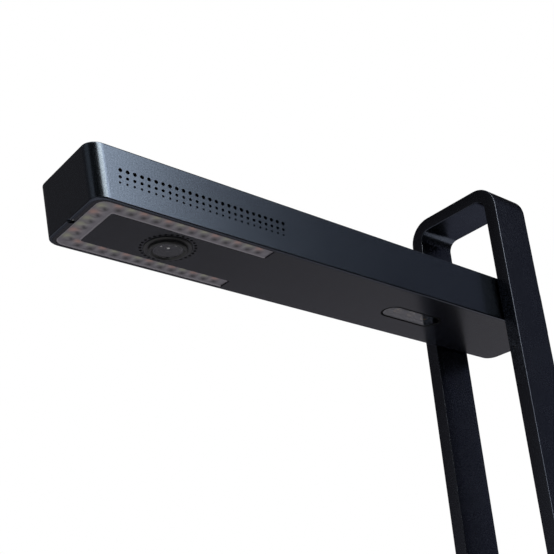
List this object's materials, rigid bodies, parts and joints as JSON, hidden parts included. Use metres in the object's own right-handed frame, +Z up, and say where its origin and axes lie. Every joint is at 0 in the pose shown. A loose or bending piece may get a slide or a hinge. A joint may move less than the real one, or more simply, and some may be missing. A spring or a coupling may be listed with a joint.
{
  "type": "overhead document scanner",
  "caption": "Overhead document scanner: slim arm with lens, U-shaped light and vents, folding down between the legs of a flat-bar handle loop on a weighted base.",
  "frame": {"origin": "bottom centre of the whole object, on the desk", "axes": "+Z up, -Y to the front (towards the head of the arm), +X to the side with the vents"},
  "size_m": [0.15, 0.4238, 0.497],
  "materials": {
    "arm_metal": "dark blue-grey anodised, fine grained satin",
    "plate_metal": "dark grey anodised, satin",
    "stand_metal": "near-black navy anodised, satin",
    "frosted_cover": "frosted, lets light through",
    "white_plastic": "white, reflecting",
    "white_board": "white solder mask",
    "light_chip": "yellow phosphor in a white frame",
    "lens_black": "black satin",
    "lens_glass": "coated glass",
    "black_plastic": "black, moulded",
    "green_board": "green solder mask",
    "chip_black": "black epoxy",
    "ribbon": "grey film",
    "bare_aluminium": "machined",
    "dark_window": "dark glossy tinted window",
    "brass": "turned",
    "screen_mesh": "black woven mesh",
    "steel": "zinc-plated or machined",
    "screw_steel": "black oxide",
    "base_plastic": "near-black, fine texture",
    "plate_steel": "black powder coat",
    "weight_iron": "blackened",
    "foot_rubber": "black, soft",
    "button_plastic": "dark grey, satin",
    "light_pipe": "clear",
    "cable_rubber": "black jacket"
  },
  "bodies": {
    "base": {"stand_loop": "stand_metal", "hinge_spacers": "black_plastic", "groove_cover": "black_plastic", "cable_plugs": "black_plastic", "power_socket": "black_plastic", "control_board": "green_board", "port_board": "green_board", "switches": "chip_black", "standoffs": "brass", "hinge_shaft_left": "steel", "hinge_shaft_right": "steel", "stop_discs": "steel", "disc_springs": "steel", "hinge_nuts": "steel", "data_socket": "steel", "set_screws": "screw_steel", "leg_screws": "screw_steel", "base_screws": "screw_steel", "base_cover": "base_plastic", "base_plate": "plate_steel", "base_weight": "weight_iron", "base_feet": "foot_rubber", "status_light": "light_pipe", "leg_cable": "cable_rubber", "control_cable": "cable_rubber"},
    "arm": {"arm_shell": "arm_metal", "arm_underplate": "plate_metal", "plate_clips": "steel", "light_cover": "frosted_cover", "light_tray": "white_plastic", "light_board": "white_board", "light_chips": "light_chip", "lens_bezel": "lens_black", "lens_barrel": "lens_black", "lens_glass": "lens_glass", "lens_elements": "lens_glass", "camera_housing": "black_plastic", "sensor_board": "green_board", "image_sensor": "chip_black", "camera_ribbon": "ribbon", "main_board": "green_board", "board_chips": "chip_black", "heat_block": "bare_aluminium", "board_plug": "black_plastic", "laser_window": "dark_window", "laser_holder": "black_plastic", "laser_barrels": "brass", "laser_lenses": "lens_glass", "dust_screen": "screen_mesh", "arm_screws": "screw_steel", "hinge_bracket_left": "steel", "hinge_bracket_right": "steel", "bracket_screws": "screw_steel", "hinge_bushes": "brass", "stop_pins": "steel", "arm_cable": "cable_rubber", "light_lead": "cable_rubber"},
    "power_button": {"power_button": "button_plastic"},
    "light_button": {"light_button": "button_plastic"},
    "scan_button": {"scan_button": "button_plastic"}
  },
  "joints": [
    {"name": "arm_fold", "type": "hinge", "parent": "base", "child": "arm", "pos_m": [0, 0.16, 0.398], "axis": [1, 0, 0], "range_deg": [0, 90]},
    {"name": "power_press", "type": "slide", "parent": "base", "child": "power_button", "axis": [0, 0, -1], "range_m": [0, 0.0008], "stiffness_N_per_m": 1500},
    {"name": "light_press", "type": "slide", "parent": "base", "child": "light_button", "axis": [0, 0, -1], "range_m": [0, 0.0008], "stiffness_N_per_m": 1500},
    {"name": "scan_press", "type": "slide", "parent": "base", "child": "scan_button", "axis": [0, 0, -1], "range_m": [0, 0.0008], "stiffness_N_per_m": 1500}
  ]
}
